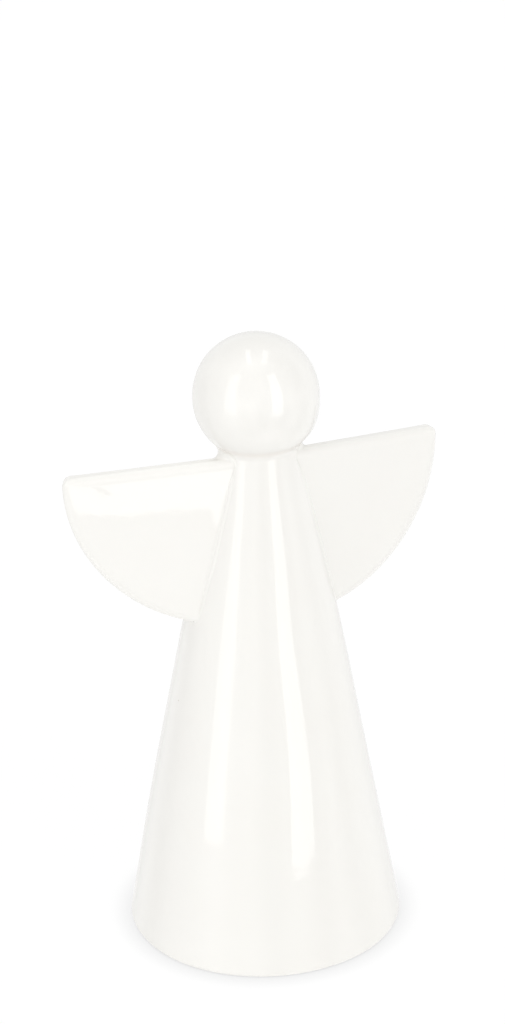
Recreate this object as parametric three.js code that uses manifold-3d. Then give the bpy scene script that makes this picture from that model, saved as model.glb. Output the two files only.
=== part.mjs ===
import * as THREE from 'three';
import { mergeVertices } from 'three/addons/utils/BufferGeometryUtils.js';
import Module from 'manifold-3d';

// Porcelain angel: a plain standing figure of white glazed porcelain.
// Lengths are in millimetres and angles in degrees. +Z is up and the figure faces -Y.
// The origin is the middle of the foot, on the surface that the figure stands on.
// Left and right are as seen from the front, so the left wing is on the -X side.

// Robe: a slip-cast hollow cone, open at the foot, with a vent hole in its roof
const ROBE_FOOT_RADIUS = 38.3;
const ROBE_TOP_RADIUS = 12.04;
const ROBE_HEIGHT = 149.8;
const ROBE_WALL = 4;
const ROBE_ROOF = 6;
const FOOT_EDGE_RADIUS = 1;
const CAVITY_CORNER_RADIUS = 3;
const VENT_RADIUS = 4;

// Head: a slip-cast hollow ball, cut off flat where it sits on the robe
const HEAD_RADIUS = 17.5;
const HEAD_WALL = 3.5;
const GATE_RADIUS = 7;

// Wings: solid plates with rounded edges, each a quarter of a disc, swept and leaning back
const WING_RADIUS = 41.44;
const WING_THICKNESS = 4.3;
const WING_EDGE_RADIUS = 1.3;
const WING_SWEEP_ANGLE = 19.5;
const WING_LEAN_ANGLE = 2.06;
const WING_DISC_REACH = 11.07;
const WING_DISC_DROP = 9.87;
const WING_TOP_RISE = 7.94;
const WING_TOP_FALL_ANGLE = 8.65;
const WING_TIP_RADIUS = 2.4;

// Slip joints: the beads of clay slip that hold the pieces together
const SEAM = 0.3;
const NECK_FILLET_RADIUS = 10;
const NECK_LIP = 0.15;
const BEAD_TOE = 0.8;
const BEAD_RISE = 1.3;
const BEAD_LIP = 0.15;
const BEAD_HOLLOW_SHARE = 0.25;

// Glaze
const PORCELAIN = { color: 0xf6f4ee, roughness: 0.08, metalness: 0 };

// Fineness of the curved surfaces
const TURN_STEPS = 72;
const BALL_STEPS = 18;
const HOLLOW_STEPS = 12;
const ARC_STEPS = 28;
const TIP_STEPS = 4;
const EDGE_STEPS = 4;
const CORNER_STEPS = 4;
const NECK_STEPS = 6;
const ROOT_FACE_STEPS = 14;
const BEAD_STEPS = 3;
const ROOT_HALVINGS = 30;

// How far a cut runs past the piece that it cuts
const OVERRUN = 1;

const wasm = await Module();
wasm.setup();

const FULL_TURN = 2 * Math.PI;
const QUARTER_TURN = Math.PI / 2;
const taper = Math.atan((ROBE_FOOT_RADIUS - ROBE_TOP_RADIUS) / ROBE_HEIGHT);
const robeNormal = new THREE.Vector2(Math.cos(taper), Math.sin(taper));
const robeRise = new THREE.Vector2(-Math.sin(taper), Math.cos(taper));
const ballCentre = new THREE.Vector2(0, ROBE_HEIGHT + legOf(HEAD_RADIUS, ROBE_TOP_RADIUS));
const neckCentre = robeMeetsBall(NECK_FILLET_RADIUS, HEAD_RADIUS + NECK_FILLET_RADIUS);
const neckToBall = ballCentre.clone().sub(neckCentre).normalize();

// The second leg of a right triangle
function legOf(hypotenuse, leg) {
  return Math.sqrt(hypotenuse ** 2 - leg ** 2);
}

// The point that lies the given distance outside the robe and the given distance from
// the ball's centre, on the lower side of the ball. Points are (radius, height).
function robeMeetsBall(outside, distance) {
  const start = new THREE.Vector2(ROBE_FOOT_RADIUS, 0).addScaledVector(robeNormal, outside);
  const fromCentre = start.clone().sub(ballCentre);
  const along = fromCentre.dot(robeRise);
  const rise = -along - Math.sqrt(along ** 2 - fromCentre.lengthSq() + distance ** 2);
  return start.addScaledVector(robeRise, rise);
}

// The robe's outer radius at a height
function robeRadius(height) {
  return ROBE_FOOT_RADIUS - height * Math.tan(taper);
}

// The radius at a height of the whole body, robe, neck fillet and head, grown all over
function bodyRadius(height, growth) {
  const neckRadius = NECK_FILLET_RADIUS - growth;
  const neckFoot = neckCentre.clone().addScaledVector(robeNormal, -neckRadius);
  const neckHead = neckCentre.clone().addScaledVector(neckToBall, neckRadius);
  if (height < neckFoot.y) return robeRadius(height) + growth / Math.cos(taper);
  if (height < neckHead.y) return neckCentre.x - legOf(neckRadius, height - neckCentre.y);
  return legOf(HEAD_RADIUS + growth, height - ballCentre.y);
}

// Points along an arc about a centre, both ends included
function arcPoints(centre, radius, from, to, steps) {
  return Array.from({ length: steps + 1 }, (_, step) => {
    const angle = THREE.MathUtils.lerp(from, to, step / steps);
    return new THREE.Vector2(Math.cos(angle), Math.sin(angle)).multiplyScalar(radius).add(centre);
  });
}

// A profile of (radius, height) points turned about the vertical axis
function turned(profile) {
  return new THREE.LatheGeometry(profile, TURN_STEPS).rotateX(QUARTER_TURN);
}

// A closed geometry as a solid that can be cut and joined
function solid(geometry) {
  const bare = geometry.clone();
  bare.deleteAttribute('normal');
  bare.deleteAttribute('uv');
  const merged = mergeVertices(bare);
  return new wasm.Manifold(new wasm.Mesh({
    numProp: 3,
    vertProperties: merged.getAttribute('position').array,
    triVerts: new Uint32Array(merged.getIndex().array),
  }));
}

// A solid as a geometry again
function geometryOf(cutSolid) {
  const mesh = cutSolid.getMesh();
  const geometry = new THREE.BufferGeometry();
  geometry.setAttribute('position', new THREE.BufferAttribute(mesh.vertProperties, 3));
  geometry.setIndex(new THREE.BufferAttribute(mesh.triVerts, 1));
  geometry.computeVertexNormals();
  return geometry;
}

// The same shape on the other side of the figure
function mirrored(geometry) {
  const copy = geometry.clone().scale(-1, 1, 1);
  const index = copy.getIndex();
  for (let corner = 0; corner < index.count; corner += 3) {
    const kept = index.getX(corner + 1);
    index.setX(corner + 1, index.getX(corner + 2));
    index.setX(corner + 2, kept);
  }
  copy.computeVertexNormals();
  return copy;
}

// The wall is open at the foot, where it stands on a flat ring with softened edges
function robe() {
  const wallAcross = ROBE_WALL / Math.cos(taper);
  const cavityHeight = ROBE_HEIGHT - ROBE_ROOF;
  const edge = FOOT_EDGE_RADIUS;
  const corner = CAVITY_CORNER_RADIUS;
  // A circle that rolls in the angle between a level face and the wall sits this far in
  const outerEdgeIn = edge / Math.cos(taper) + edge * Math.tan(taper);
  const innerEdgeIn = edge / Math.cos(taper) - edge * Math.tan(taper);
  const cavityCornerIn = corner / Math.cos(taper) - corner * Math.tan(taper);
  const outerEdge = new THREE.Vector2(ROBE_FOOT_RADIUS - outerEdgeIn, edge);
  const innerEdge = new THREE.Vector2(ROBE_FOOT_RADIUS - wallAcross + innerEdgeIn, edge);
  const cavityCorner = new THREE.Vector2(
    robeRadius(cavityHeight) - wallAcross - cavityCornerIn, cavityHeight - corner);
  const profile = [
    ...arcPoints(outerEdge, edge, -QUARTER_TURN, taper, CORNER_STEPS),
    new THREE.Vector2(ROBE_TOP_RADIUS, ROBE_HEIGHT),
    new THREE.Vector2(VENT_RADIUS, ROBE_HEIGHT),
    new THREE.Vector2(VENT_RADIUS, cavityHeight),
    ...arcPoints(cavityCorner, corner, QUARTER_TURN, taper, CORNER_STEPS),
    ...arcPoints(innerEdge, edge, Math.PI + taper, 3 * QUARTER_TURN, CORNER_STEPS),
  ];
  return turned([...profile, profile[0]]);
}

// The hollow opens downwards through the gate that the slip was poured in by
function head() {
  const seat = new THREE.Vector2(ROBE_TOP_RADIUS, ROBE_HEIGHT);
  const seatAngle = seat.clone().sub(ballCentre).angle() - FULL_TURN;
  const outside = arcPoints(ballCentre, HEAD_RADIUS, seatAngle, QUARTER_TURN, BALL_STEPS);
  const ball = [new THREE.Vector2(0, ROBE_HEIGHT), ...outside];
  const hollow = arcPoints(
    ballCentre, HEAD_RADIUS - HEAD_WALL, -QUARTER_TURN, QUARTER_TURN, HOLLOW_STEPS);
  const gate = [
    new THREE.Vector2(0, ROBE_HEIGHT - OVERRUN),
    new THREE.Vector2(GATE_RADIUS, ROBE_HEIGHT - OVERRUN),
    new THREE.Vector2(GATE_RADIUS, ballCentre.y),
    new THREE.Vector2(0, ballCentre.y),
  ];
  for (const profile of [ball, hollow]) profile.at(-1).x = 0;
  hollow[0].x = 0;
  return geometryOf(solid(turned(ball)).subtract(solid(turned(hollow))).subtract(solid(turned(gate))));
}

// A ring of slip, hollowed by the finger that smoothed it, between the robe and the ball
function neckJoint() {
  const radius = NECK_FILLET_RADIUS;
  const stand = SEAM + NECK_LIP;
  const reach = HEAD_RADIUS + radius;
  const robeEnd = Math.acos(1 - stand / radius);
  const ballEnd = Math.acos(
    (reach ** 2 + radius ** 2 - (HEAD_RADIUS + stand) ** 2) / (2 * reach * radius));
  const outside = arcPoints(
    neckCentre, radius, Math.PI + taper - robeEnd, neckToBall.angle() + ballEnd, NECK_STEPS);
  const top = outside.at(-1).clone().sub(ballCentre);
  const crease = robeMeetsBall(SEAM, HEAD_RADIUS + SEAM).sub(ballCentre);
  const overBall = arcPoints(
    ballCentre, HEAD_RADIUS + SEAM, top.angle(), crease.angle(), NECK_STEPS);
  const foot = outside[0].clone().addScaledVector(robeNormal, -NECK_LIP);
  return turned([...outside, ...overBall, foot, outside[0]]);
}

// The robe, the neck fillet and the head as one plain solid, grown all over, to cut with
function grownBody(growth) {
  const neckRadius = NECK_FILLET_RADIUS - growth;
  const ballRadius = HEAD_RADIUS + growth;
  const ballStart = neckToBall.clone().negate().angle() - FULL_TURN;
  const profile = [
    new THREE.Vector2(0, 0),
    new THREE.Vector2(bodyRadius(0, growth), 0),
    ...arcPoints(neckCentre, neckRadius, Math.PI + taper, neckToBall.angle(), NECK_STEPS),
    ...arcPoints(ballCentre, ballRadius, ballStart, QUARTER_TURN, BALL_STEPS).slice(1),
  ];
  profile.at(-1).x = 0;
  return solid(turned(profile));
}

// The right wing's own frame starts at the height of its disc's centre, on its front face
// and beside the robe's axis. There x is the reach outwards along the plate, y is the rise
// up the plate and z is the way out of its front face.
const topFallAngle = THREE.MathUtils.degToRad(WING_TOP_FALL_ANGLE);
const topFall = Math.tan(topFallAngle);
const wingFrame = new THREE.Matrix4()
  .makeRotationZ(THREE.MathUtils.degToRad(WING_SWEEP_ANGLE))
  .multiply(new THREE.Matrix4().makeTranslation(0, -ROBE_TOP_RADIUS, ROBE_HEIGHT - WING_DISC_DROP))
  .multiply(new THREE.Matrix4().makeRotationX(
    QUARTER_TURN - THREE.MathUtils.degToRad(WING_LEAN_ANGLE)));

// The rise of the wing's top edge at a reach
function wingTop(reach) {
  return WING_TOP_RISE - topFall * (reach - WING_DISC_REACH);
}

// The rise of the wing's lower edge at a reach, drawn in by an inset
function wingBottom(reach, inset) {
  return -legOf(WING_RADIUS - inset, Math.max(0, reach - WING_DISC_REACH));
}

// Where the disc's rim would meet the top edge, as an angle at the disc's centre
function wingTipAngle() {
  return Math.asin(WING_TOP_RISE * Math.cos(topFallAngle) / WING_RADIUS) - topFallAngle;
}

// The right wing: a straight top edge that falls outwards, and the disc's rim below it
function rightWing() {
  const tipAngle = wingTipAngle();
  const tip = new THREE.Vector2(
    WING_DISC_REACH + WING_RADIUS * Math.cos(tipAngle), WING_RADIUS * Math.sin(tipAngle));
  const beforeTip = tipAngle - WING_TIP_RADIUS / WING_RADIUS;
  const afterTip = tip.x - WING_TIP_RADIUS;
  const rim = new THREE.Path();
  rim.absarc(WING_DISC_REACH, 0, WING_RADIUS, -QUARTER_TURN, beforeTip, false);
  const corner = new THREE.QuadraticBezierCurve(
    rim.getPoint(1), tip, new THREE.Vector2(afterTip, wingTop(afterTip)));
  const points = [
    new THREE.Vector2(0, wingBottom(0, 0)),
    ...rim.getPoints(ARC_STEPS),
    ...corner.getPoints(TIP_STEPS).slice(1),
    new THREE.Vector2(0, wingTop(0)),
  ];
  const plate = new THREE.ExtrudeGeometry(new THREE.Shape(points), {
    depth: WING_THICKNESS - 2 * WING_EDGE_RADIUS,
    bevelThickness: WING_EDGE_RADIUS,
    bevelSize: WING_EDGE_RADIUS,
    bevelOffset: -WING_EDGE_RADIUS,
    bevelSegments: EDGE_STEPS,
  });
  plate.translate(0, 0, WING_EDGE_RADIUS - WING_THICKNESS).applyMatrix4(wingFrame);
  return geometryOf(solid(plate).subtract(grownBody(SEAM)));
}

// The stations of the bead, round the plate's rounded section: down the front face, under
// the lower edge, up the back face and over the top edge. Side is 1 in front and -1 behind,
// height share is 1 at the top edge and 0 at the lower one, and angle is the way outwards.
function rootStations() {
  const along = (steps, make) => Array.from({ length: steps }, (_, step) => make(step / steps));
  const edge = (side, share, from) => along(
    EDGE_STEPS, (part) => ({ side, share, angle: from - part * QUARTER_TURN }));
  return [
    ...along(ROOT_FACE_STEPS, (part) => ({ side: 1, share: 1 - part, angle: 0 })),
    ...edge(1, 0, 0),
    ...edge(-1, 0, -QUARTER_TURN),
    ...along(ROOT_FACE_STEPS, (part) => ({ side: -1, share: part, angle: Math.PI })),
    ...edge(-1, 1, Math.PI),
    ...edge(1, 1, QUARTER_TURN),
  ];
}

// The point of a station at a reach, outside the plate by growth
function platePoint(station, growth, reach) {
  const inset = WING_EDGE_RADIUS;
  const round = inset + growth;
  const bottom = wingBottom(reach, inset);
  const top = wingTop(reach) - inset / Math.cos(topFallAngle);
  const rise = THREE.MathUtils.lerp(bottom, top, station.share) + round * Math.sin(station.angle);
  const middle = station.side * (WING_THICKNESS / 2 - inset) - WING_THICKNESS / 2;
  const out = middle + round * Math.cos(station.angle);
  return new THREE.Vector3(reach, rise, out).applyMatrix4(wingFrame);
}

// The point of a station that lies outside the plate by growth and outside the body by
// height. The reach is found by halving, because the wing's edges slope with it.
function rootPoint(station, growth, height) {
  let near = 0;
  let far = WING_RADIUS;
  let point;
  for (let halving = 0; halving < ROOT_HALVINGS; halving += 1) {
    const reach = (near + far) / 2;
    point = platePoint(station, growth, reach);
    if (Math.hypot(point.x, point.y) < bodyRadius(point.z, height)) near = reach;
    else far = reach;
  }
  return point;
}

// The bead's section, as how far each point lies outside the plate and outside the body:
// from the toe on the body up a hollow slope to the lip on the plate, and back inside
function beadSection() {
  const toe = new THREE.Vector2(BEAD_TOE, SEAM);
  const lip = new THREE.Vector2(SEAM + BEAD_LIP, BEAD_RISE);
  const heel = new THREE.Vector2(SEAM, SEAM);
  const middle = toe.clone().lerp(lip, 1 / 2).lerp(heel, 2 * BEAD_HOLLOW_SHARE);
  const slope = new THREE.QuadraticBezierCurve(toe, middle, lip).getPoints(BEAD_STEPS);
  return [...slope, new THREE.Vector2(SEAM, BEAD_RISE), heel];
}

// The bead of slip that runs all round the right wing's root
function rightWingJoint() {
  const section = beadSection();
  const stations = rootStations();
  const places = stations.flatMap(
    (station) => section.map(({ x: growth, y: height }) => rootPoint(station, growth, height)));
  const index = [];
  stations.forEach((_, station) => section.forEach((__, point) => {
    const nextStation = (station + 1) % stations.length;
    const nextPoint = (point + 1) % section.length;
    const near = station * section.length;
    const far = nextStation * section.length;
    index.push(near + point, far + nextPoint, near + nextPoint);
    index.push(near + point, far + point, far + nextPoint);
  }));
  const geometry = new THREE.BufferGeometry().setFromPoints(places);
  geometry.setIndex(index);
  geometry.computeVertexNormals();
  return geometry;
}

// One named piece of white glazed porcelain
function piece(name, geometry) {
  const mesh = new THREE.Mesh(geometry, new THREE.MeshStandardMaterial(PORCELAIN));
  mesh.name = name;
  return mesh;
}

function porcelainAngel() {
  const wing = rightWing();
  const joint = rightWingJoint();
  const group = new THREE.Group();
  group.add(
    piece('robe', robe()),
    piece('head', head()),
    piece('neck_slip_joint', neckJoint()),
    piece('right_wing', wing),
    piece('left_wing', mirrored(wing)),
    piece('right_wing_slip_joint', joint),
    piece('left_wing_slip_joint', mirrored(joint)),
  );
  return group;
}

export default porcelainAngel();
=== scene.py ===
"""The looks of a porcelain angel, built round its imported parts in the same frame.

Every visible surface is made again as a fine closed mesh from the parts' own sizes, so that the glossy glaze
runs smoothly from the robe over the neck to the head and from the body to the wings. Lengths are in millimetres
here and become metres where a mesh, lamp or texture is made. The figure faces -Y. Azimuths go from -Y towards
+X, and left and right are as the photograph shows them.
"""

import math

import bmesh
import bpy
import numpy as np
from mathutils import Matrix, Vector, noise


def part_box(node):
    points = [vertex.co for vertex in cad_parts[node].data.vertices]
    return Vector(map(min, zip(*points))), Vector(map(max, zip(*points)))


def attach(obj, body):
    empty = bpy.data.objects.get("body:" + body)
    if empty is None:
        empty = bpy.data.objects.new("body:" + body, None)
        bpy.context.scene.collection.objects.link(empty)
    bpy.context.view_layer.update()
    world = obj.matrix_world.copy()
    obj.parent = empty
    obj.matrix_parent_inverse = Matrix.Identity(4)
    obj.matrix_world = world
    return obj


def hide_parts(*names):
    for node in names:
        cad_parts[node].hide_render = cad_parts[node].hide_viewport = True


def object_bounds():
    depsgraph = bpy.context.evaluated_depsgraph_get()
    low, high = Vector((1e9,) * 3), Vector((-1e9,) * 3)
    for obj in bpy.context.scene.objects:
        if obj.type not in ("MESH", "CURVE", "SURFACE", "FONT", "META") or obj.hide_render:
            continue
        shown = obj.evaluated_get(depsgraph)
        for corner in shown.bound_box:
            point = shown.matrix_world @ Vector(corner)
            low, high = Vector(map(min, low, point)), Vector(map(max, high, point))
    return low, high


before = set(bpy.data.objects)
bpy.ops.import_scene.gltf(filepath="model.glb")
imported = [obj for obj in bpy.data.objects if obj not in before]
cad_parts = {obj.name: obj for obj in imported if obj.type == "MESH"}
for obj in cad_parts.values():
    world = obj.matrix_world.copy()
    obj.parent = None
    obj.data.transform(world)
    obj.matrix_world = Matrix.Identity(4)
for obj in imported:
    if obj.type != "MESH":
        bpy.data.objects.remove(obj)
cad_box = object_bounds()

MM = 0.001

# The body: a cone and a ball, with a small hollow fillet of slip between them
FOOT_RADIUS = 38.3
TOP_RADIUS = 12.04
ROBE_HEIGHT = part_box("robe")[1].z / MM
ROBE_WALL = 4
ROBE_ROOF = 6
FOOT_EDGE = 1
FOOT_BARE = 0.08
CAVITY_CORNER = 3
VENT_RADIUS = 4
HEAD_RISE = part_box("head")[1].z / MM - ROBE_HEIGHT
HEAD_RADIUS = (HEAD_RISE ** 2 + TOP_RADIUS ** 2) / (2 * HEAD_RISE)
HEAD_WALL = 3.5
GATE_RADIUS = 7
NECK_LOW = 146.4
NECK_HIGH = 152.6
NECK_BLEND = 1.9
NECK_SINK = 0.2
TAPER = math.atan((FOOT_RADIUS - TOP_RADIUS) / ROBE_HEIGHT)
BALL_HEIGHT = ROBE_HEIGHT + math.sqrt(HEAD_RADIUS ** 2 - TOP_RADIUS ** 2)
BALL_CENTRE = np.array([0, BALL_HEIGHT])

# The soft swells and hollows of the cast robe and head, as the bends of their reflections show them: depth,
# height, rise, azimuth from the view and width
ROBE_SWELLS = (
    # Behind the left wing's root
    (-2.15, 140, 16, -94, 33),
    (-0.98, 102, 26, -124, 52),
    # The left flank
    (0.65, 90, 18, -65, 21),
    (-0.23, 11, 32, -73, 24),
    # Low on the front
    (1.89, 36, 23, -11, 47),
    (-2.23, 40, 31, 14, 36),
    # The right flank
    (1.01, 70, 36, 43, 22),
    (0.69, 88, 16, 44, 35),
    (-1.29, 92, 18, 40, 22),
    # Under the neck
    (0.49, 143, 12, 12, 19),
    (0.51, 139, 18, -24, 19))
HEAD_SWELLS = ((-0.17, 165, 5, 0, 400), (0.5, 153.5, 2.8, 75, 35))

# The slight unevenness of every cast and glazed skin: a broad and a fine noise
RIPPLE_BROAD = 16
RIPPLE_BROAD_DEPTH = 0.02
RIPPLE_FINE = 6
RIPPLE_FINE_DEPTH = 0.003
RIPPLE_FINE_SHIFT = Vector((7, 3, 5))

# The photograph's camera: it aims at a point beside the axis
CAMERA_DISTANCE = 1531.915
CAMERA_FOCAL_PIXELS = 5597.543
CAMERA_ELEVATION = math.radians(27.922)
CAMERA_AZIMUTH = math.radians(15.404)
CAMERA_ROLL = math.radians(-1.095)
CAMERA_SIDEWAYS = -1.564
CAMERA_TARGET_HEIGHT = 126.811
CAMERA_NEAR = 50
CAMERA_FAR = 50000
IMAGE_HEIGHT = 1024
SENSOR = 36

# The wings: plates with rounded edges, each a quarter of a disc, swept and leaning back. Depth is how far
# forwards of the axis the front face lies at the height of the disc's centre.
WING_RADIUS = 41.44
WING_THICKNESS = 4.3
WING_EDGE_DEPTH = 1.5
WING_EDGE_INSET = 2.8
WING_SWEEP = math.radians(19.5)
WING_LEAN = math.radians(2.06)
WING_DEPTH = TOP_RADIUS
WING_DISC_REACH = 11.07
WING_DISC_DROP = 9.87
WING_DISC_HEIGHT = ROBE_HEIGHT - WING_DISC_DROP
WING_TOP_RISE = 7.94
WING_TOP_FALL = math.radians(8.65)
WING_TIP_RADIUS = 2.4
# The rounded rim is set in less near the tip: how far round it, and by what share at most
TIP_REACH = 5
TIP_SHARE = 0.6
# Flaws of the front faces: reach, rise, width and depth
FACE_FLAWS = {"left": ((42, -1.6, 1.1, 0.09), (40.2, -2.6, 1, 0.05), (43.6, -0.5, 0.9, 0.04)), "right": ()}
# Burrs on the rims behind: angle round the disc, width in degrees and height
RIM_BURRS = {"left": (), "right": ((-57.7, 0.55, 0.4), (-79.3, 0.6, 0.45))}

# The hollow fillet of slip at the wing roots: its radius up the faces, under the lower edge, and over the top
# edge from the back corner to the front one
ROOT_FILLET = 2.6
ROOT_FILLET_LOW = 0.8
ROOT_FILLET_TOP = {"left": (2.3, 1.2), "right": (0.9, 0.9)}
# The shares of a face's height where the fillet has grown to its full radius, and where it turns to the top's
FILLET_GROWN = 0.45
FILLET_TURNS = (0.84, 0.99)
# The slip's raised seam along the body: the widths of its steep and its gentle side, the steep side's slope
# at the body and at the crest, in degrees, and the share of a face's height over which the seam starts
SEAM_STEEP = 0.6
SEAM_GENTLE = 0.8
SEAM_SLOPES = (30, 12)
SEAM_START = 0.03
# How far a wing runs into the body, and how far the slip runs into the plate and the body
ROOT_EMBED = 0.8
ROOT_SINK = 0.15
BODY_SINK = 0.4

# Fineness
TURN_STEPS = 288
PROFILE_STEP = 1.0
BALL_STEPS = 140
HOLLOW_POINTS = 70
NECK_STEPS = 36
RIM_SAMPLES = 2400
TIP_SAMPLES = 200
OUTLINE_STEPS = 320
FACE_ROWS = 44
EDGE_STEPS = 10
ROOT_FACE_STEPS = 150
ROOT_ARC_STEPS = 28
HALVINGS = 26
SLOPE_STEP = 0.02
MERGE_DISTANCE = 0.00001
SHARP = math.radians(50)
AZIMUTHS = np.arange(TURN_STEPS) * 2 * math.pi / TURN_STEPS

# Glaze. The scale of a noise is in features to a metre, and its detail in octaves.
GLAZE_COLOR = (0.928, 0.917, 0.882)
GLAZE_DEEP = (0.916, 0.9015, 0.862)
GLAZE_DEEP_SHARE = 0.6
GLAZE_ROUGHNESS = (0.012, 0.03)
GLAZE_IOR = 1.54
CLOUD_NOISE = {"scale": 45, "detail": 3}
GLOSS_NOISE = {"scale": 120, "detail": 4}
SKIN_NOISE = {"scale": 420, "detail": 2}
SKIN_STRENGTH = 0.04
SKIN_DEPTH = 0.2
# The middle stretch of a noise, where nearly all its values lie
NOISE_LOW = 0.3
NOISE_HIGH = 0.7
# The glaze that pooled in the neck's crease, with the crease's shade painted in as a darker, warmer band
POOL_AND_SHADE_COLOR = (0.895, 0.862, 0.815)
POOL_AND_SHADE_HEIGHT = 151
POOL_AND_SHADE_REACH = 1.9
# The one pinhole in the robe's glaze, and the radius where it is fully dark
PINHOLE = Vector((-25.13, -4.62, 74.2))
PINHOLE_RADIUS = 0.24
PINHOLE_DARK_RADIUS = PINHOLE_RADIUS / 3
PINHOLE_COLOR = (0.62, 0.55, 0.47)

# The bare fired clay of the foot ring
BISQUE_LIGHT = (0.86, 0.84, 0.80)
BISQUE_DARK = (0.78, 0.75, 0.70)
BISQUE_ROUGHNESS = (0.75, 0.95)
GRAIN_NOISE = {"scale": 900, "detail": 5}

# The floor: it lies a hair below the foot, and the camera sees it white but for a faint shadow. Shadow is how
# much of the lamps' light it then shows, light is what falls on it in the open, and contact is a painted
# shadow: how much darker its glow is painted close to the foot, where the floor is hidden from the room.
FLOOR_RADIUS = 3000
FLOOR_STEPS = 96
FLOOR_GAP = 0.02
FLOOR_COLOR = (0.93, 0.93, 0.93)
FLOOR_ROUGHNESS = 0.9
FLOOR_SHADOW = 0.05
FLOOR_LIGHT = 0.75
FLOOR_CONTACT_SHADOW = 0.28
FLOOR_CONTACT_SHADOW_REACH = 7
FLOOR_CONTACT_SHADOW_SAMPLES = 16

# The soft boxes, far away: place and facing as azimuth and elevation, lean in the box's own plane, width and
# length as shares of the lamp distance, and the brightness that a mirror would show
LAMP_DISTANCE = 6000
SOFT_BOXES = {
    "left_panel": ((-68.07, 29.68), (-43.9, 3.89), -7.85, (0.354, 1.409), 1.05),
    "right_panel": ((26.57, 28.9), (13.82, 8.09), 5.08, (0.353, 1.47), 1.57),
    "left_strip": ((-156.2, 74.43), (0, 90), 13.6, (0.123, 0.583), 1.48),
    "right_strip": ((115.8, 71.86), (0, 90), 19.5, (0.134, 0.542), 1.28)}

# The cards near the left wing, all in one plane: where the middle of the lower edge lies in it, and the size
GLINT_PLACE = Vector((-126.1, -210.2, 37.6))
GLINT_FACING = (-24.59, -23.63)
GLINT_LEAN = -1.5
GLINT_BRIGHTNESS = 1.35
GLINT_CARDS = {"wing_card": ((0, -5.3), (74, 28)), "root_card": ((28, -11), (18, 5.7))}

# The room, as the light that it sheds and as the glaze mirrors it. Each part of it is lighter or darker by a
# change, within a width about a direction.
ROOM_LIGHT = 1.08
LIGHT_PATCHES = {
    "front": ((-15, 0), 90, 0.01),
    "front_left": ((-75, 0), 90, -0.12),
    "back_left": ((-135, 0), 90, -0.35),
    "back": ((165, 0), 90, -0.25),
    "back_right": ((105, 0), 90, -0.41),
    "front_right": ((45, 0), 90, -0.09),
    "overhead": ((0, 90), 75, -0.11),
    "high_front": ((-15, 45), 75, -0.09)}
ROOM_SEEN = 1.84
SEEN_PATCHES = {
    "low_left": ((-24, -24), 35, -0.86),
    "low_right": ((54, -24), 35, -0.51),
    "front": ((15, -10), 40, -1.10),
    "left": ((-100, -10), 50, -0.16),
    "back_left": ((-150, -20), 45, -0.53),
    "right": ((100, -10), 50, -0.35),
    "back_right": ((150, -20), 45, -0.38),
    "overhead": ((0, 90), 50, -0.09),
    "high_front": ((-15, 40), 45, -0.96),
    "high_left": ((-90, 40), 50, -0.26),
    "high_right": ((60, 40), 50, -1.13),
    "high_back": ((165, 40), 60, -0.46),
    "below": ((0, -90), 70, -0.52)}
# The white backdrop behind the figure: the angles within which it is full, and beyond which it ends
BACKDROP_FULL = 12
BACKDROP_WIDTH = 45


def bell(offset, width):
    """One at no offset, falling softly either way."""
    return np.exp(-0.5 * (offset / width) ** 2)


def smooth_step(value, start, end):
    """From 0 at start to 1 at end, level at both."""
    share = np.clip((value - start) / (end - start), 0, 1)
    return share * share * (3 - 2 * share)


def eased(steps):
    """Shares from 0 to 1 that crowd towards both ends."""
    return (1 - np.cos(np.linspace(0, math.pi, steps + 1))) / 2


def arc(centre, radius, start, end, shares):
    """Points (radius, height) on an arc of a turned section, between two angles."""
    angles = start + (end - start) * shares
    return [(centre[0] + radius * math.cos(a), centre[1] + radius * math.sin(a)) for a in angles]


def line(start, end, steps):
    """Points from start to just before end."""
    return [tuple(np.array(start) + (np.array(end) - np.array(start)) * k / steps) for k in range(steps)]


def quads(rows, columns, wrap_rows, wrap_columns):
    """The faces of a grid of points, closed round either way."""
    faces = []
    for r in range(rows if wrap_rows else rows - 1):
        for c in range(columns if wrap_columns else columns - 1):
            here, below = r * columns, (r + 1) % rows * columns
            right = (c + 1) % columns
            faces.append((here + c, here + right, below + right, below + c))
    return faces


def direction(azimuth, elevation):
    """A unit vector from an azimuth, from -Y towards +X, and an elevation, in degrees."""
    az, el = math.radians(azimuth), math.radians(elevation)
    return Vector((math.sin(az) * math.cos(el), -math.cos(az) * math.cos(el), math.sin(el)))


# The body's shape

def swelling(swells, height, azimuth):
    """How far a cast surface bulges from its true shape."""
    view = np.degrees(azimuth) + math.degrees(CAMERA_AZIMUTH)
    return sum(depth * bell(height - middle, rise) * bell((view - aim + 180) % 360 - 180, width)
               for depth, middle, rise, aim, width in swells)


def body_radius(height, azimuth, grow=0.0):
    """The radius of robe, neck and head at a height, grown all over."""
    cone = FOOT_RADIUS - height * math.tan(TAPER) + grow / math.cos(TAPER)
    cone = cone + swelling(ROBE_SWELLS, height, azimuth)
    ball = np.sqrt(np.maximum((HEAD_RADIUS + grow) ** 2 - (height - BALL_HEIGHT) ** 2, 0))
    ball = ball + swelling(HEAD_SWELLS, height, azimuth) * np.minimum(1, ball)
    blend = np.maximum(NECK_BLEND - np.abs(cone - ball), 0) / NECK_BLEND
    joined = np.maximum(cone, ball) + blend ** 2 * NECK_BLEND / 4
    return np.where(height > NECK_HIGH + grow, ball, joined)


def ring(radius, height):
    """A level ring of points about the axis, whose radius may change with azimuth."""
    return np.stack([radius * np.sin(AZIMUTHS), -radius * np.cos(AZIMUTHS), np.full(TURN_STEPS, height)], 1)


def inner_ring(radius, height):
    """A ring inside the body, whose unevenness fades towards the axis."""
    return ring(radius + swelling(ROBE_SWELLS, height, AZIMUTHS) * min(1, radius / TOP_RADIUS), height)


def outer_rings(heights, sunk=0.0):
    """Rings on the body's skin, or sunk under it."""
    return [ring(body_radius(height, AZIMUTHS) - sunk, height) for height in heights]


# Pieces

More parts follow.
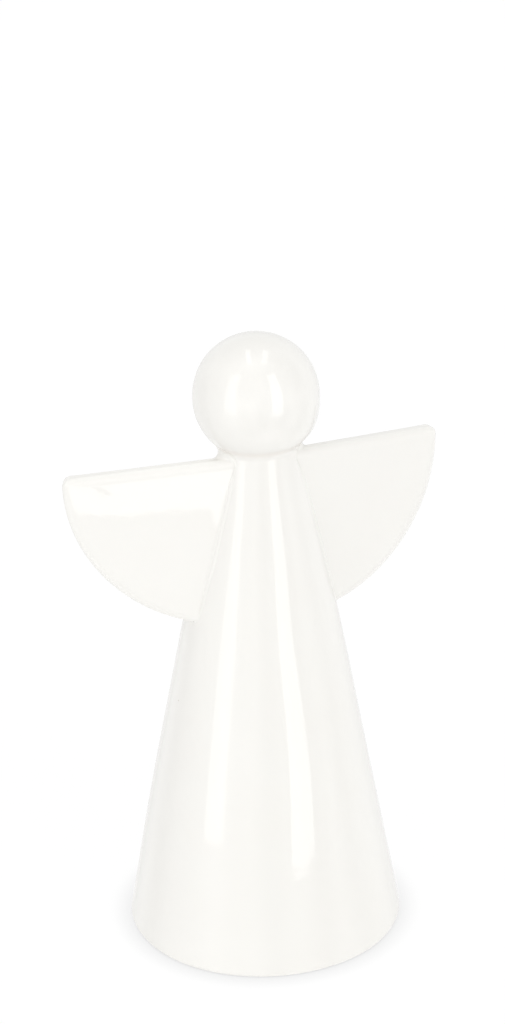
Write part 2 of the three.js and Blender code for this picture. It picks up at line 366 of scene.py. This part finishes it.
def ripple(point):
    """The slight unevenness of a cast and glazed surface, in millimetres."""
    broad = noise.noise(Vector(point) / RIPPLE_BROAD)
    fine = noise.noise(Vector(point) / RIPPLE_FINE + RIPPLE_FINE_SHIFT)
    return RIPPLE_BROAD_DEPTH * broad + RIPPLE_FINE_DEPTH * fine


def make_piece(name, points, faces, node):
    """A closed smooth mesh from points in millimetres, which stands for a node of the frame."""
    mesh = bpy.data.meshes.new(name)
    mesh.from_pydata([tuple(p) for p in np.asarray(points, float) * MM], [], faces)
    work = bmesh.new()
    work.from_mesh(mesh)
    bmesh.ops.remove_doubles(work, verts=work.verts, dist=MERGE_DISTANCE * MM)
    bmesh.ops.recalc_face_normals(work, faces=work.faces)
    work.to_mesh(mesh)
    work.free()
    for vertex, normal in zip(mesh.vertices, [v.vector.copy() for v in mesh.vertex_normals]):
        moved = vertex.co + normal * ripple(vertex.co / MM) * MM
        vertex.co = [min(max(place, low), high) for place, low, high in zip(moved, *cad_box)]
    mesh.shade_smooth()
    mesh.set_sharp_from_angle(angle=SHARP)
    piece = bpy.data.objects.new(name, mesh)
    bpy.context.scene.collection.objects.link(piece)
    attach(piece, "root")
    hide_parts(node)
    return piece


def robe():
    """The hollow cone, with its foot ring, cavity, roof and vent."""
    slope = math.tan(TAPER)
    wall = ROBE_WALL / math.cos(TAPER)
    cavity = ROBE_HEIGHT - ROBE_ROOF
    outer = (FOOT_RADIUS - FOOT_EDGE * (1 / math.cos(TAPER) + slope), FOOT_EDGE)
    inner = (FOOT_RADIUS - wall + FOOT_EDGE * (1 / math.cos(TAPER) - slope), FOOT_EDGE)
    corner = (FOOT_RADIUS - cavity * slope - wall - CAVITY_CORNER * (1 / math.cos(TAPER) - slope),
              cavity - CAVITY_CORNER)
    shares = np.linspace(0, 1, EDGE_STEPS + 1)
    foot = arc(outer, FOOT_EDGE, -math.pi / 2, TAPER, shares)
    rows = int(NECK_LOW / PROFILE_STEP)
    flank = outer_rings(np.linspace(foot[-1][1], NECK_LOW, rows)[1:])
    roof = [(TOP_RADIUS - 2 * NECK_SINK, ROBE_HEIGHT), (VENT_RADIUS, ROBE_HEIGHT), (VENT_RADIUS, cavity)]
    inside = arc(corner, CAVITY_CORNER, math.pi / 2, TAPER, shares)
    hem = arc(inner, FOOT_EDGE, math.pi + TAPER, 3 * math.pi / 2, shares)
    lining = roof + inside[:-1] + line(inside[-1], hem[0], rows) + hem
    rings = ([inner_ring(*place) for place in foot] + flank + outer_rings([NECK_LOW], NECK_SINK)
             + [inner_ring(*place) for place in lining])
    return make_piece("robe_glazed_cone", np.concatenate(rings), quads(len(rings), TURN_STEPS, True, True),
                      "robe")


def head():
    """The hollow ball, with its pouring gate below."""
    start = math.asin((NECK_HIGH - BALL_HEIGHT) / HEAD_RADIUS)
    shares = (eased(BALL_STEPS) + np.linspace(0, 1, BALL_STEPS + 1)) / 2
    heights = BALL_HEIGHT + HEAD_RADIUS * np.sin(start + (math.pi / 2 - start) * shares)
    hollow_radius = HEAD_RADIUS - HEAD_WALL
    gate_angle = -math.acos(GATE_RADIUS / hollow_radius)
    hollow = arc(BALL_CENTRE, hollow_radius, math.pi / 2, gate_angle, np.linspace(0, 1, HOLLOW_POINTS))
    outside = outer_rings(heights[:-1]) + [ring(0, heights[-1])]
    seat = [inner_ring(GATE_RADIUS, ROBE_HEIGHT), inner_ring(TOP_RADIUS - 2 * NECK_SINK, ROBE_HEIGHT)]
    shell = seat + outer_rings([NECK_HIGH], NECK_SINK) + outside
    lining = [ring(0, hollow[0][1])] + [ring(*place) for place in hollow[1:]] + seat[:1]
    faces = quads(len(shell), TURN_STEPS, False, True)
    offset = len(shell) * TURN_STEPS
    faces += [tuple(i + offset for i in face) for face in quads(len(lining), TURN_STEPS, False, True)]
    return make_piece("head_glazed_ball", np.concatenate(shell + lining), faces, "head")


def neck():
    """The smoothed ring of slip between the robe and the ball. Inside it is sunk deeper than they are."""
    outside = outer_rings(np.linspace(NECK_LOW, NECK_HIGH, NECK_STEPS + 1))
    inside = (outer_rings([NECK_HIGH], 3 * NECK_SINK) + [inner_ring(TOP_RADIUS - 5 * NECK_SINK, ROBE_HEIGHT)]
              + outer_rings([NECK_LOW], 3 * NECK_SINK))
    rings = outside + inside
    return make_piece("neck_slip_fillet", np.concatenate(rings), quads(len(rings), TURN_STEPS, True, True),
                      "neck_slip_joint")


# Wings

def wing_to_figure(side, points):
    """Points (reach, rise, out) of a wing's own frame as points of the figure. Rise starts at the height of
    the disc's centre, and out is measured from the front face."""
    reach, rise, out = np.moveaxis(np.asarray(points, float), -1, 0)
    depth = WING_DEPTH + out * math.cos(WING_LEAN) - rise * math.sin(WING_LEAN)
    height = WING_DISC_HEIGHT + rise * math.cos(WING_LEAN) + out * math.sin(WING_LEAN)
    x = reach * math.cos(WING_SWEEP) + depth * math.sin(WING_SWEEP)
    y = reach * math.sin(WING_SWEEP) - depth * math.cos(WING_SWEEP)
    return np.stack([x if side == "right" else -x, y, height], -1)


def outside_body(side, points, grow):
    """How far points of the wing's frame lie outside the grown body."""
    x, y, height = np.moveaxis(wing_to_figure(side, points), -1, 0)
    return np.hypot(x, y) - body_radius(height, np.arctan2(x, -y), grow)


def outline():
    """The wing's rim as (reach, rise) points with outward normals, and its tip before that is rounded. The rim
    runs up the arc, round the tip and in along the top edge."""
    tip_angle = math.asin(WING_TOP_RISE * math.cos(WING_TOP_FALL) / WING_RADIUS) - WING_TOP_FALL
    centre = np.array([WING_DISC_REACH, 0])
    tip = centre + WING_RADIUS * np.array([math.cos(tip_angle), math.sin(tip_angle)])
    angles = np.linspace(-math.pi / 2, tip_angle - WING_TIP_RADIUS / WING_RADIUS, RIM_SAMPLES)
    curve = centre + WING_RADIUS * np.stack([np.cos(angles), np.sin(angles)], 1)
    along_top = np.array([-math.cos(WING_TOP_FALL), math.sin(WING_TOP_FALL)])
    after = tip + WING_TIP_RADIUS * along_top
    t = np.linspace(0, 1, TIP_SAMPLES)[1:, None]
    corner = (1 - t) ** 2 * curve[-1] + 2 * t * (1 - t) * tip + t ** 2 * after
    top = after + np.linspace(0, after[0] / math.cos(WING_TOP_FALL), RIM_SAMPLES)[1:, None] * along_top
    points = np.concatenate([curve, corner, top])
    tangents = np.gradient(points, axis=0)
    tangents /= np.linalg.norm(tangents, axis=1)[:, None]
    return points, np.stack([tangents[:, 1], -tangents[:, 0]], 1), tip


RIM, RIM_NORMALS, TIP = outline()


def rim_row(side, out, inset):
    """One row of points along the rim, from where it leaves the body below to where it meets it above. It is
    set in less at the tip, which is too tightly curved for more."""
    corner = np.exp(-(np.linalg.norm(RIM - TIP, axis=1) / TIP_REACH) ** 2)
    rim = RIM - (inset * (1 - TIP_SHARE * corner))[:, None] * RIM_NORMALS
    points = np.concatenate([rim, np.full((len(rim), 1), out)], 1)
    free = np.flatnonzero(outside_body(side, points, -ROOT_EMBED) > 0)
    kept = points[free[0]:free[-1] + 1]
    length = np.concatenate([[0], np.cumsum(np.linalg.norm(np.diff(kept, axis=0), axis=1))])
    places = np.linspace(0, length[-1], OUTLINE_STEPS + 1)
    return np.stack([np.interp(places, length, kept[:, k]) for k in range(3)], 1)


def face_rows(side, rim):
    """Rows of points over one face of the plate, from its root to its rim."""
    root = rim.copy()
    root[:, 1] = np.linspace(rim[0, 1], rim[-1, 1], len(rim))
    near, far = np.zeros(len(rim)), np.full(len(rim), WING_RADIUS)
    for _ in range(HALVINGS):
        root[:, 0] = (near + far) / 2
        inside = outside_body(side, root, -ROOT_EMBED) < 0
        near, far = np.where(inside, root[:, 0], near), np.where(inside, far, root[:, 0])
    root[0], root[-1] = rim[0], rim[-1]
    return [root + (rim - root) * share for share in np.linspace(0, 1, FACE_ROWS)[:-1]]


def dented(side, points):
    """Points of a face, sunk by the small flaws of its casting."""
    for reach, rise, width, depth in FACE_FLAWS[side]:
        gap = np.hypot(points[:, 0] - reach, points[:, 1] - rise)
        points[:, 2] -= depth * np.exp(-(gap / width) ** 2)
    return points


def burred(side, points):
    """Points near the rim, raised by the small burrs that were left on it."""
    arm = points[:, :2] - [WING_DISC_REACH, 0]
    angle = np.degrees(np.arctan2(arm[:, 1], arm[:, 0]))
    for place, width, height in RIM_BURRS[side]:
        points[:, :2] += arm / WING_RADIUS * (height * np.exp(-((angle - place) / width) ** 2))[:, None]
    return points


def wing(side):
    """One solid plate, its root inside the body's wall."""
    turns = np.linspace(0, math.pi / 2, EDGE_STEPS + 1)
    rounds = [(WING_EDGE_DEPTH * (1 - math.cos(turn)), WING_EDGE_INSET * (1 - math.sin(turn)))
              for turn in turns]
    front = [rim_row(side, -deep, inset) for deep, inset in rounds]
    back = [rim_row(side, deep - WING_THICKNESS, inset) for deep, inset in rounds]
    edges = front + [burred(side, row) for row in back[::-1]]
    rows = [dented(side, row) for row in face_rows(side, front[0])] + edges + face_rows(side, back[0])[::-1]
    grid = np.array(rows)
    count, columns = grid.shape[:2]
    faces = quads(count, columns, True, False)
    first, last = FACE_ROWS - 1, FACE_ROWS - 1 + len(edges)
    faces.append(tuple(r * columns for r in range(first, last)))
    faces.append(tuple(r * columns + columns - 1 for r in range(first, last)))
    points = wing_to_figure(side, grid.reshape(-1, 3))
    return make_piece(f"{side}_wing_plate", points, faces, f"{side}_wing")


# The slip at the wing roots

def root_stations():
    """Stations round the plate's section, as (kind, share or side, angle): front, lower edge, back, top edge.
    A share goes up a face, and a side is 1 in front and -1 behind."""
    faces = np.linspace(0, 1, ROOT_FACE_STEPS + 1)[:-1]
    turns = np.linspace(0, math.pi / 2, EDGE_STEPS + 1)[:-1]
    return ([("front", 1 - s, 0) for s in faces] + [("low", 1, a) for a in turns]
            + [("low", -1, math.pi / 2 - a) for a in turns] + [("back", s, 0) for s in faces]
            + [("high", -1, a) for a in turns] + [("high", 1, math.pi / 2 - a) for a in turns])


def plate_point(station, reach):
    """The plate's surface point and outward normal at a station, in the wing's own frame."""
    kind, share, angle = station
    across = max(0.0, reach - WING_DISC_REACH) / WING_RADIUS
    low_normal = np.array([across, -math.sqrt(1 - across ** 2)])
    low = np.array([reach, WING_RADIUS * low_normal[1]])
    high_normal = np.array([math.sin(WING_TOP_FALL), math.cos(WING_TOP_FALL)])
    high = np.array([reach, WING_TOP_RISE - math.tan(WING_TOP_FALL) * (reach - WING_DISC_REACH)])
    if kind in ("front", "back"):
        bottom = low[1] - WING_EDGE_INSET / low_normal[1]
        top = high[1] - WING_EDGE_INSET / high_normal[1]
        front = kind == "front"
        point = np.array([reach, bottom + (top - bottom) * share, 0 if front else -WING_THICKNESS])
        return point, np.array([0, 0, 1 if front else -1])
    rim, normal = (low, low_normal) if kind == "low" else (high, high_normal)
    place = rim - WING_EDGE_INSET * (1 - math.sin(angle)) * normal
    out = share * (WING_THICKNESS / 2 - WING_EDGE_DEPTH * (1 - math.cos(angle))) - WING_THICKNESS / 2
    upwards = normal * WING_EDGE_DEPTH * math.sin(angle)
    outward = np.array([*upwards, share * WING_EDGE_INSET * math.cos(angle)])
    return np.array([*place, out]), outward / np.linalg.norm(outward)


def root_solve(side, station, grow):
    """The plate's normal and grown point, where that point lies just on the grown body."""
    near, far = 0.0, WING_RADIUS
    for _ in range(HALVINGS):
        reach = (near + far) / 2
        point, normal = plate_point(station, reach)
        centre = point + grow * normal
        if outside_body(side, centre, grow) > 0:
            far = reach
        else:
            near = reach
    return normal, centre


def body_normal(side, centre, grow):
    """The body's outward normal under a point, in the wing's own frame."""
    probes = SLOPE_STEP * np.eye(3)
    slope = outside_body(side, centre + probes, grow) - outside_body(side, centre - probes, grow)
    return slope / np.linalg.norm(slope)


def fillet_radius(side, station):
    """The slip's radius at a station: full on the faces, less round the lower edge and at the neck."""
    kind, share, angle = station
    back, front = ROOT_FILLET_TOP[side]
    if kind == "high":
        turned = angle if share < 0 else math.pi - angle
        return back + (front - back) * float(smooth_step(turned, 0, math.pi))
    if kind == "low":
        return ROOT_FILLET_LOW
    low = ROOT_FILLET_LOW + (ROOT_FILLET - ROOT_FILLET_LOW) * float(smooth_step(share, 0, FILLET_GROWN))
    return low + ((front if kind == "front" else back) - low) * float(smooth_step(share, *FILLET_TURNS))


def seam_height(station, gap):
    """How far the slip's seam stands proud at a distance from the body, over the plate's front."""
    kind, share, angle = station
    if kind in ("low", "back") or share < 0:
        return 0.0
    fade = math.cos(angle) if kind == "high" else min(1.0, share / SEAM_START)
    foot, crest = (math.tan(math.radians(slope)) for slope in SEAM_SLOPES)
    rise = min(gap, SEAM_STEEP)
    height = rise * foot + (crest - foot) * rise ** 2 / (2 * SEAM_STEEP)
    return fade * height * float(smooth_step(gap, SEAM_STEEP + SEAM_GENTLE, SEAM_STEEP))


def root_slip(side):
    """The bead of slip round a wing's root, as a rolling ball would smooth it."""
    rows = []
    for station in root_stations():
        radius = fillet_radius(side, station)
        normal, centre = root_solve(side, station, radius)
        inner = body_normal(side, centre, radius)
        spread = math.acos(float(np.clip(normal @ inner, -1, 1)))
        section = []
        for share in eased(ROOT_ARC_STEPS):
            weight = math.sin((1 - share) * spread), math.sin(share * spread)
            toward = (weight[0] * normal + weight[1] * inner) / math.sin(spread)
            section.append(centre - (radius - seam_height(station, (1 - share) * spread * radius)) * toward)
        heel = root_solve(side, station, -ROOT_SINK)[1]
        section += [section[-1] - BODY_SINK * inner, heel, section[0] - ROOT_SINK * normal]
        rows.append(section)
    grid = np.array(rows)
    points = wing_to_figure(side, grid.reshape(-1, 3))
    faces = quads(grid.shape[0], grid.shape[1], True, True)
    return make_piece(f"{side}_wing_root_slip", points, faces, f"{side}_wing_slip_joint")


# Nodes that materials and the room share

def maths(tree, operation, first, second):
    """A maths node's result from two values or sockets."""
    node = tree.nodes.new("ShaderNodeMath")
    node.operation = operation
    for socket, value in zip(node.inputs, (first, second)):
        if isinstance(value, (int, float)):
            socket.default_value = value
        else:
            tree.links.new(value, socket)
    return node.outputs["Value"]


def vector_measure(tree, operation, source, fixed):
    """A distance or product of a vector socket and a fixed vector."""
    node = tree.nodes.new("ShaderNodeVectorMath")
    node.operation = operation
    node.inputs[1].default_value = fixed
    tree.links.new(source, node.inputs[0])
    return node.outputs["Value"]


def rescaled(tree, source, stretch, target=(0, 1), smooth=False):
    """A value's stretch, mapped to a target range and level beyond it."""
    node = tree.nodes.new("ShaderNodeMapRange")
    if smooth:
        node.interpolation_type = "SMOOTHSTEP"
    node.inputs["From Min"].default_value, node.inputs["From Max"].default_value = stretch
    node.inputs["To Min"].default_value, node.inputs["To Max"].default_value = target
    tree.links.new(source, node.inputs["Value"])
    return node.outputs["Result"]


def noise_between(tree, source, low, high):
    """A noise as a value between low and high."""
    return rescaled(tree, source, (NOISE_LOW, NOISE_HIGH), (low, high))


def noise_field(tree, coordinates, scale, detail):
    """A noise texture on the object's own coordinates."""
    node = tree.nodes.new("ShaderNodeTexNoise")
    node.inputs["Scale"].default_value = scale
    node.inputs["Detail"].default_value = detail
    tree.links.new(coordinates.outputs["Object"], node.inputs["Vector"])
    return node.outputs["Fac"]


def mixed(tree, first, second, share):
    """A colour or socket that turns to a second colour by a share."""
    node = tree.nodes.new("ShaderNodeMix")
    node.data_type = "RGBA"
    if isinstance(first, tuple):
        node.inputs["A"].default_value = (*first, 1)
    else:
        tree.links.new(first, node.inputs["A"])
    node.inputs["B"].default_value = (*second, 1)
    tree.links.new(share, node.inputs["Factor"])
    return node.outputs["Result"]


# Materials

def new_material(name):
    """A node material with its plain shader."""
    material = bpy.data.materials.new(name)
    material.use_nodes = True
    return material, material.node_tree, material.node_tree.nodes["Principled BSDF"]


def pinholed(tree, coordinates, color):
    """A colour with the robe's one dark pinhole."""
    gap = vector_measure(tree, "DISTANCE", coordinates.outputs["Object"], PINHOLE * MM)
    dark = rescaled(tree, gap, (PINHOLE_RADIUS * MM, PINHOLE_DARK_RADIUS * MM))
    return mixed(tree, color, PINHOLE_COLOR, dark)


def pooled_and_shaded(tree, coordinates, color):
    """A colour that is deeper in a band round the neck's crease: pooled glaze together with painted shade."""
    split = tree.nodes.new("ShaderNodeSeparateXYZ")
    tree.links.new(coordinates.outputs["Object"], split.inputs["Vector"])
    gap = maths(tree, "ABSOLUTE", maths(tree, "SUBTRACT", split.outputs["Z"], POOL_AND_SHADE_HEIGHT * MM), 0)
    # Painted shade: this band darkens the crease round the neck, besides the pooled glaze
    band = rescaled(tree, gap, (POOL_AND_SHADE_REACH * MM, 0), smooth=True)
    return mixed(tree, color, POOL_AND_SHADE_COLOR, band)


def glaze(name, mark=None):
    """A clear glaze over white porcelain: faint clouds of colour, an uneven gloss and fine ripples, with the
    mark that a function adds to its colour."""
    material, tree, shader = new_material(name)
    coordinates = tree.nodes.new("ShaderNodeTexCoord")
    clouds = noise_between(tree, noise_field(tree, coordinates, **CLOUD_NOISE), 0, GLAZE_DEEP_SHARE)
    color = mixed(tree, GLAZE_COLOR, GLAZE_DEEP, clouds)
    if mark:
        color = mark(tree, coordinates, color)
    tree.links.new(color, shader.inputs["Base Color"])
    gloss = noise_between(tree, noise_field(tree, coordinates, **GLOSS_NOISE), *GLAZE_ROUGHNESS)
    tree.links.new(gloss, shader.inputs["Roughness"])
    bump = tree.nodes.new("ShaderNodeBump")
    bump.inputs["Strength"].default_value = SKIN_STRENGTH
    bump.inputs["Distance"].default_value = SKIN_DEPTH * MM
    tree.links.new(noise_field(tree, coordinates, **SKIN_NOISE), bump.inputs["Height"])
    tree.links.new(bump.outputs["Normal"], shader.inputs["Normal"])
    shader.inputs["IOR"].default_value = GLAZE_IOR
    return material


def bisque(name):
    """The bare fired clay of the foot ring."""
    material, tree, shader = new_material(name)
    coordinates = tree.nodes.new("ShaderNodeTexCoord")
    grain = noise_field(tree, coordinates, **GRAIN_NOISE)
    color = mixed(tree, BISQUE_LIGHT, BISQUE_DARK, noise_between(tree, grain, 0, 1))
    tree.links.new(color, shader.inputs["Base Color"])
    tree.links.new(noise_between(tree, grain, *BISQUE_ROUGHNESS), shader.inputs["Roughness"])
    return material


def assign(piece, *materials):
    """Gives a piece its materials."""
    for material in materials:
        piece.data.materials.append(material)


def bare_foot(piece):
    """Gives the faces that lie on the ground the piece's second material."""
    for face in piece.data.polygons:
        if max(piece.data.vertices[number].co.z for number in face.vertices) < FOOT_BARE * MM:
            face.material_index = 1


# Studio

def camera():
    """The photograph's camera."""
    right = Vector((math.cos(CAMERA_AZIMUTH), -math.sin(CAMERA_AZIMUTH), 0))
    back = direction(-math.degrees(CAMERA_AZIMUTH), math.degrees(CAMERA_ELEVATION))
    target = right * CAMERA_SIDEWAYS + Vector((0, 0, CAMERA_TARGET_HEIGHT))
    place = target + back * CAMERA_DISTANCE
    level = (-back).cross(Vector((0, 0, 1))).normalized()
    up = level.cross(-back)
    turned_right = level * math.cos(CAMERA_ROLL) + up * math.sin(CAMERA_ROLL)
    turned_up = up * math.cos(CAMERA_ROLL) - level * math.sin(CAMERA_ROLL)
    data = bpy.data.cameras.new("camera")
    data.sensor_width = SENSOR
    data.lens = CAMERA_FOCAL_PIXELS * SENSOR / IMAGE_HEIGHT
    data.clip_start = CAMERA_NEAR * MM
    data.clip_end = CAMERA_FAR * MM
    eye = bpy.data.objects.new("camera", data)
    eye.matrix_world = Matrix((turned_right, turned_up, back)).transposed().to_4x4()
    eye.matrix_world.translation = place * MM
    bpy.context.scene.collection.objects.link(eye)
    bpy.context.scene.camera = eye


def lamp_axes(facing, lean):
    """The directions across and along a lamp that is square to a direction and leans in its own plane."""
    tilt = math.radians(lean)
    side = direction(facing[0] + 90, 0)
    up = direction(facing[0], facing[1] + 90)
    across = side * math.cos(tilt) - up * math.sin(tilt)
    along = side * math.sin(tilt) + up * math.cos(tilt)
    return across, along


def area_lamp(name, middle, axes, size, brightness):
    """A rectangular lamp about a middle, whose brightness is what a mirror would show."""
    across, along = axes
    data = bpy.data.lights.new(name, "AREA")
    data.shape = "RECTANGLE"
    data.size, data.size_y = size[0] * MM, size[1] * MM
    data.energy = brightness * math.pi * data.size * data.size_y
    lamp = bpy.data.objects.new(name, data)
    lamp.matrix_world = Matrix((across, along, across.cross(along))).transposed().to_4x4()
    lamp.matrix_world.translation = middle * MM
    bpy.context.scene.collection.objects.link(lamp)
    return lamp


def soft_box(name, place, facing, lean, shares, brightness):
    """A soft box at a place on the wide sphere of the lamps."""
    middle = Vector((0, 0, CAMERA_TARGET_HEIGHT)) + direction(*place) * LAMP_DISTANCE
    size = [share * LAMP_DISTANCE for share in shares]
    area_lamp(name, middle, lamp_axes(facing, lean), size, brightness)


def glint(name, wing_plate, place, size):
    """A card held near the left wing, for that wing alone, that its upper half mirrors."""
    axes = lamp_axes(GLINT_FACING, GLINT_LEAN)
    middle = GLINT_PLACE + axes[0] * place[0] + axes[1] * (place[1] + size[1] / 2)
    lamp = area_lamp(name, middle, axes, size, GLINT_BRIGHTNESS)
    receivers = bpy.data.collections.new(name + "_receivers")
    receivers.objects.link(wing_plate)
    lamp.light_linking.receiver_collection = receivers


def patch(tree, where, aim, width, full=0):
    """One within an angle from a direction, falling smoothly to nothing at a wider one."""
    dot = vector_measure(tree, "DOT_PRODUCT", where.outputs["Generated"], direction(*aim))
    edges = (math.cos(math.radians(width)), math.cos(math.radians(full)))
    return rescaled(tree, dot, edges, smooth=True)


def room_level(tree, where, base, patches):
    """A level that changes over the room by patches of (direction, width, change)."""
    level = base
    for aim, width, change in patches.values():
        level = maths(tree, "ADD", level, maths(tree, "MULTIPLY", patch(tree, where, aim, width), change))
    return level


def studio_world():
    """A pale room that lights the object, and that camera and glossy rays see with a bright backdrop."""
    world = bpy.data.worlds.new("studio")
    world.use_nodes = True
    bpy.context.scene.world = world
    tree = world.node_tree
    tree.nodes.clear()
    output = tree.nodes.new("ShaderNodeOutputWorld")
    path = tree.nodes.new("ShaderNodeLightPath")
    where = tree.nodes.new("ShaderNodeTexCoord")
    light = tree.nodes.new("ShaderNodeBackground")
    tree.links.new(room_level(tree, where, ROOM_LIGHT, LIGHT_PATCHES), light.inputs["Color"])
    level = room_level(tree, where, ROOM_SEEN, SEEN_PATCHES)
    away = (180 - math.degrees(CAMERA_AZIMUTH), -math.degrees(CAMERA_ELEVATION))
    backdrop = patch(tree, where, away, BACKDROP_WIDTH, BACKDROP_FULL)
    rest = maths(tree, "MULTIPLY", level, maths(tree, "SUBTRACT", 1, backdrop))
    seen = tree.nodes.new("ShaderNodeBackground")
    tree.links.new(maths(tree, "ADD", backdrop, rest), seen.inputs["Color"])
    mirrored = maths(tree, "MAXIMUM", path.outputs["Is Glossy Ray"], path.outputs["Is Transmission Ray"])
    rays = maths(tree, "MAXIMUM", path.outputs["Is Camera Ray"], mirrored)
    mix = tree.nodes.new("ShaderNodeMixShader")
    tree.links.new(rays, mix.inputs["Fac"])
    tree.links.new(light.outputs["Background"], mix.inputs[1])
    tree.links.new(seen.outputs["Background"], mix.inputs[2])
    tree.links.new(mix.outputs["Shader"], output.inputs["Surface"])


def floor_paper(name):
    """A pale matt paper that the camera sees as white, less a share of the shadow on it, with a contact shadow
    painted into its glow near the foot.
    """
    material, tree, shader = new_material(name)
    shader.inputs["Base Color"].default_value = (*FLOOR_COLOR, 1)
    shader.inputs["Roughness"].default_value = FLOOR_ROUGHNESS
    shadow = tree.nodes.new("ShaderNodeBsdfDiffuse")
    shadow.inputs["Color"].default_value = (FLOOR_SHADOW, FLOOR_SHADOW, FLOOR_SHADOW, 1)
    # Painted shadow: the occlusion near the foot dims the floor's glow
    near = tree.nodes.new("ShaderNodeAmbientOcclusion")
    near.inputs["Distance"].default_value = FLOOR_CONTACT_SHADOW_REACH * MM
    near.samples = FLOOR_CONTACT_SHADOW_SAMPLES
    closed = 1 - FLOOR_SHADOW * FLOOR_LIGHT - FLOOR_CONTACT_SHADOW
    glow = tree.nodes.new("ShaderNodeEmission")
    strength = maths(tree, "ADD", maths(tree, "MULTIPLY", near.outputs["AO"], FLOOR_CONTACT_SHADOW), closed)
    tree.links.new(strength, glow.inputs["Strength"])
    white = tree.nodes.new("ShaderNodeAddShader")
    tree.links.new(shadow.outputs["BSDF"], white.inputs[0])
    tree.links.new(glow.outputs["Emission"], white.inputs[1])
    path = tree.nodes.new("ShaderNodeLightPath")
    seen = tree.nodes.new("ShaderNodeMixShader")
    tree.links.new(path.outputs["Is Camera Ray"], seen.inputs["Fac"])
    tree.links.new(shader.outputs["BSDF"], seen.inputs[1])
    tree.links.new(white.outputs["Shader"], seen.inputs[2])
    tree.links.new(seen.outputs["Shader"], tree.nodes["Material Output"].inputs["Surface"])
    return material


def floor():
    """A wide floor, which the glaze doesn't mirror because the room reaches below the horizon there."""
    work = bmesh.new()
    bmesh.ops.create_circle(work, cap_ends=True, segments=FLOOR_STEPS, radius=FLOOR_RADIUS * MM)
    mesh = bpy.data.meshes.new("floor")
    work.to_mesh(mesh)
    work.free()
    ground = bpy.data.objects.new("floor", mesh)
    bpy.context.scene.collection.objects.link(ground)
    ground.location.z = -FLOOR_GAP * MM
    ground.visible_glossy = False
    assign(ground, floor_paper("floor_paper"))


robe_glaze = glaze("robe_glaze", pinholed)
foot_bisque = bisque("foot_bisque")
head_glaze = glaze("head_glaze")
wing_glaze = glaze("wing_glaze")
# The slip's glaze carries the pooled glaze and the painted shade of the neck's crease
slip_glaze = glaze("slip_glaze", pooled_and_shaded)

standing = robe()
assign(standing, robe_glaze, foot_bisque)
bare_foot(standing)
assign(head(), head_glaze)
assign(neck(), slip_glaze)
plates = {side: wing(side) for side in ("left", "right")}
for side, plate in plates.items():
    assign(plate, wing_glaze)
    assign(root_slip(side), slip_glaze)

camera()
floor()
studio_world()
for name, settings in SOFT_BOXES.items():
    soft_box(name, *settings)
for name, settings in GLINT_CARDS.items():
    glint(name, plates["left"], *settings)
bpy.context.scene.view_settings.view_transform = "Standard"
